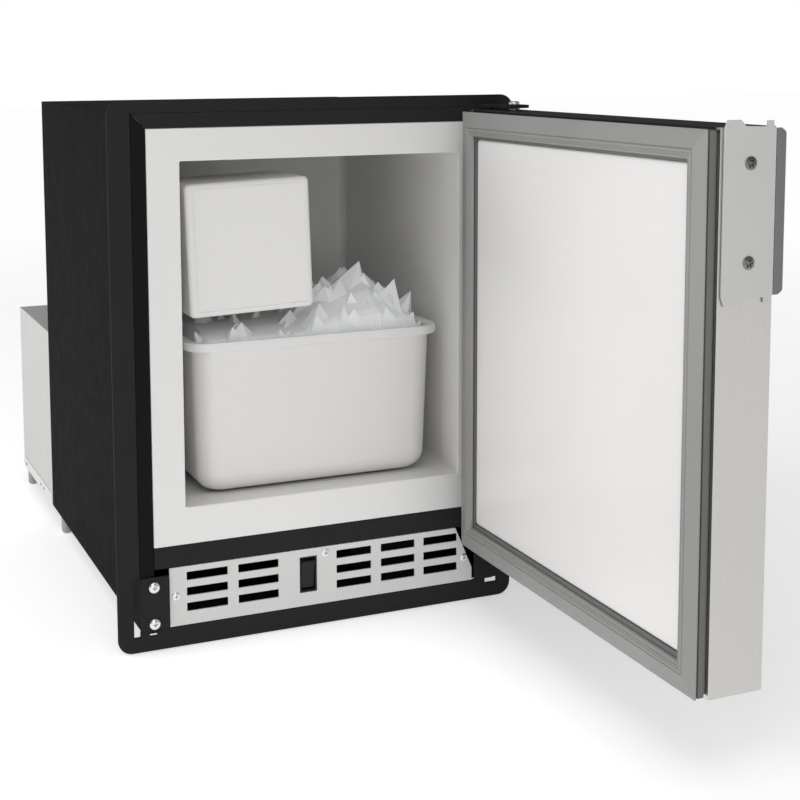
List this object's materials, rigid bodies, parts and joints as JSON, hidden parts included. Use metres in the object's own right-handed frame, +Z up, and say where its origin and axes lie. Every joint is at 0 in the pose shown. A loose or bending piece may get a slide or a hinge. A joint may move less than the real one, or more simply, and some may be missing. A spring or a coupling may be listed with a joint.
{
  "type": "ice maker",
  "caption": "Built-in ice maker: black cabinet with a mounting flange, stainless side-hinged door, white cavity with ice mechanism and lift-out bin, vent grille, rear compressor housing.",
  "frame": {"origin": "middle of the mounting flange's lower edge, halfway through the flange's thickness", "axes": "+X to the right seen from the front, +Y to the back of the cabinet, +Z up; the door opens towards -Y"},
  "size_m": [0.365, 0.9382, 0.4574],
  "materials": {
    "black_steel": "satin",
    "stainless": "satin",
    "grey_paint": "satin",
    "latch_metal": "satin",
    "liner_plastic": "satin",
    "bin_plastic": "satin",
    "door_panel_plastic": "gloss",
    "gasket_vinyl": "matte",
    "black_plastic": "satin",
    "rubber": "matte",
    "zinc_steel": "satin",
    "aluminium": "satin",
    "copper": "satin",
    "brass": "satin",
    "foam": "matte",
    "foot_plastic": "matte"
  },
  "bodies": {
    "cabinet": {"mounting_flange": "black_steel", "side_panel_left": "black_steel", "side_panel_right": "black_steel", "top_panel": "black_steel", "back_panel": "black_steel", "base_pan": "black_steel", "cross_rail": "black_steel", "blank_hinge_plate": "black_steel", "hinge_bracket_upper": "black_steel", "hinge_bracket_lower": "black_steel", "compressor": "black_steel", "grille_panel": "grey_paint", "compressor_hood": "grey_paint", "module_bracket": "grey_paint", "inner_liner": "liner_plastic", "module_cover": "liner_plastic", "fill_tube": "liner_plastic", "switch_body": "black_plastic", "ejector_drive": "black_plastic", "fan_shroud": "black_plastic", "fan_motor": "black_plastic", "cable_gland": "black_plastic", "drain_stub": "black_plastic", "control_box": "black_plastic", "foot_middle_left": "foot_plastic", "foot_middle_right": "foot_plastic", "foot_rear_left": "foot_plastic", "foot_rear_right": "foot_plastic", "compressor_mount_front": "rubber", "compressor_mount_rear": "rubber", "grille_screw_left": "zinc_steel", "grille_screw_middle": "zinc_steel", "grille_screw_right": "zinc_steel", "corner_screw_upper": "zinc_steel", "corner_screw_lower": "zinc_steel", "hinge_pin_upper": "zinc_steel", "hinge_pin_lower": "zinc_steel", "ice_mould": "aluminium", "condenser": "aluminium", "refrigerant_line": "copper", "water_inlet_valve": "brass", "insulation_foam": "foam"},
    "door": {"door_skin": "stainless", "door_top_cap": "black_plastic", "door_bottom_cap": "black_plastic", "door_foam": "foam", "door_inner_panel": "door_panel_plastic", "gasket_retainer": "black_plastic", "door_gasket": "gasket_vinyl", "hinge_bush_upper": "black_plastic", "hinge_bush_lower": "black_plastic", "latch_plate": "latch_metal", "latch_screw_upper": "zinc_steel", "latch_screw_lower": "zinc_steel"},
    "latch": {"latch_lever": "latch_metal"},
    "bin": {"ice_bin": "bin_plastic"},
    "rocker": {"switch_rocker": "black_plastic"},
    "rake": {"ejector_rake": "liner_plastic"},
    "arm": {"shutoff_arm": "zinc_steel"},
    "fan": {"fan_blade": "black_plastic"}
  },
  "joints": [
    {"name": "door_hinge", "type": "hinge", "parent": "cabinet", "child": "door", "pos_m": [0.1586, -0.047, 0.255], "axis": [0, 0, 1], "range_deg": [-90, 25]},
    {"name": "latch_pull", "type": "hinge", "parent": "door", "child": "latch", "pos_m": [0.16845, -0.37975, 0.39], "axis": [0, 0, -1], "range_deg": [0, 15]},
    {"name": "bin_slide", "type": "slide", "parent": "cabinet", "child": "bin", "axis": [0, -1, 0], "range_m": [0, 0.018]},
    {"name": "switch_rock", "type": "hinge", "parent": "cabinet", "child": "rocker", "pos_m": [-0.0148, 0.005, 0.046], "axis": [-1, 0, 0], "range_deg": [0, 14]},
    {"name": "rake_turn", "type": "hinge", "parent": "cabinet", "child": "rake", "pos_m": [-0.05862, 0.15, 0.34419], "axis": [0, 1, 0], "continuous": true},
    {"name": "arm_lift", "type": "hinge", "parent": "cabinet", "child": "arm", "pos_m": [-0.0278, 0.15, 0.32125], "axis": [0, -1, 0], "range_deg": [0, 35]},
    {"name": "fan_spin", "type": "hinge", "parent": "cabinet", "child": "fan", "pos_m": [0.092, 0.47, 0.108], "axis": [0, 1, 0], "continuous": true}
  ]
}
